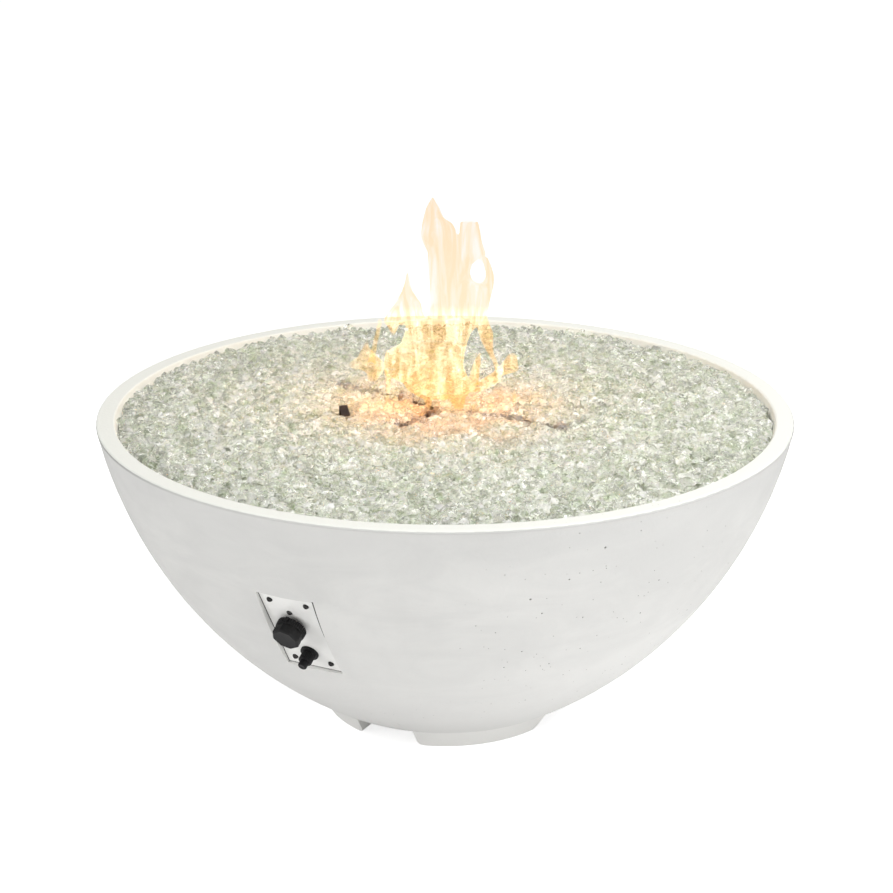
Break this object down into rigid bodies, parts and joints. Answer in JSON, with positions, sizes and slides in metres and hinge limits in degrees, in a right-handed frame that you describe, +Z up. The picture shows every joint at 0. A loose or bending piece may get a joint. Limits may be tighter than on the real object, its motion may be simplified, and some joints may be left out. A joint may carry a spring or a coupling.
{
  "type": "gas fire pit bowl",
  "caption": "Round cast-concrete fire pit bowl on short feet, with a gas burner under fire glass, a control panel with a push-and-turn knob and a push-button igniter.",
  "frame": {"origin": "on the ground under the centre of the bowl", "axes": "+Z up along the bowl's axis, the control panel faces -Y"},
  "size_m": [1.0656, 1.0652, 0.4912],
  "materials": {
    "concrete": "off-white cast concrete, matt, with pinholes",
    "foot_concrete": "cream cast concrete, matt",
    "stainless": "brushed stainless sheet and tube",
    "zinc_steel": "zinc-plated steel",
    "cast_alloy": "die-cast alloy",
    "tube_alloy": "drawn aluminium tube",
    "brass": "turned brass",
    "fire_glass": "clear tempered fire glass with a faint green tint",
    "panel_white": "white powder coat",
    "black_screw": "black oxide",
    "black_plastic": "black moulded plastic",
    "battery_case": "printed steel can",
    "burnt_steel": "steel darkened by heat",
    "ceramic": "unglazed ceramic",
    "wire_sleeve": "silicone sleeve",
    "copper": "drawn copper"
  },
  "bodies": {
    "bowl": {"bowl_shell": "concrete", "foot_front_left": "foot_concrete", "foot_front_right": "foot_concrete", "foot_back_left": "foot_concrete", "foot_back_right": "foot_concrete", "burner_pan": "stainless", "cross_burner": "stainless", "burner_nipple": "stainless", "nipple_locknut": "zinc_steel", "bonnet_screws": "zinc_steel", "bracket_screws": "zinc_steel", "igniter_spring": "zinc_steel", "air_mixer": "cast_alloy", "valve_body": "cast_alloy", "valve_bonnet": "cast_alloy", "gas_tube": "tube_alloy", "gas_orifice": "brass", "tube_nuts": "brass", "inlet_fitting": "brass", "igniter_contact": "brass", "panel_anchors": "brass", "fire_glass": "fire_glass", "control_panel": "panel_white", "panel_screws": "black_screw", "valve_screws": "black_screw", "igniter_body": "black_plastic", "igniter_nut": "black_plastic", "igniter_cap": "black_plastic", "igniter_battery": "battery_case", "ignition_bracket": "burnt_steel", "spark_electrode": "ceramic", "ignition_wire": "wire_sleeve", "thermocouple": "copper", "thermocouple_lead": "copper"},
    "rotor": {"valve_plug": "brass", "stem_spring": "zinc_steel"},
    "knob": {"control_knob": "black_plastic", "valve_stem": "brass"},
    "button": {"igniter_button": "black_plastic"}
  },
  "joints": [
    {"name": "knob_turn", "type": "hinge", "parent": "bowl", "child": "rotor", "pos_m": [-0.005, -0.45109, 0.29441], "axis": [0, -0.8594, -0.5113], "range_deg": [0, 170]},
    {"name": "knob_push", "type": "slide", "parent": "rotor", "child": "knob", "axis": [0, 0.8594, 0.5113], "range_m": [0, 0.0035], "stiffness_N_per_m": 1500, "springref_m": -0.002, "deforming": ["stem_spring"]},
    {"name": "igniter_push", "type": "slide", "parent": "bowl", "child": "button", "axis": [0, 0.8594, 0.5113], "range_m": [0, 0.004], "stiffness_N_per_m": 1200, "springref_m": -0.002, "deforming": ["igniter_spring"]}
  ]
}
